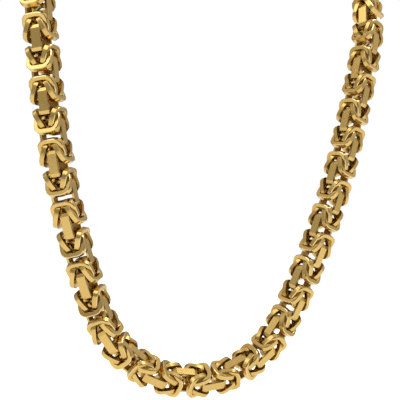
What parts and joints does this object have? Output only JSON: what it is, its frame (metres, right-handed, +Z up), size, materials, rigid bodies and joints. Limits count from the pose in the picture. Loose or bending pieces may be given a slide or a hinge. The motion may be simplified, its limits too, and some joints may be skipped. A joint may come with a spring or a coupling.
{
  "type": "byzantine neck chain",
  "caption": "Closed neck chain of wide flat band links tied by knots of rounded flat ears, with a plain barrel clasp at the nape.",
  "frame": {"origin": "at the nape, on the neck side of the clasp, where the loop hangs", "axes": "+Z up, -Y towards the front of the wearer, +X to the right as seen from the front"},
  "size_m": [0.1325, 0.0573, 0.1826],
  "materials": {
    "gold": "polished, with a soft satin wear"
  },
  "bodies": {
    "root": {"chain_left": "gold", "chain_right": "gold", "clasp": "gold"}
  },
  "joints": []
}
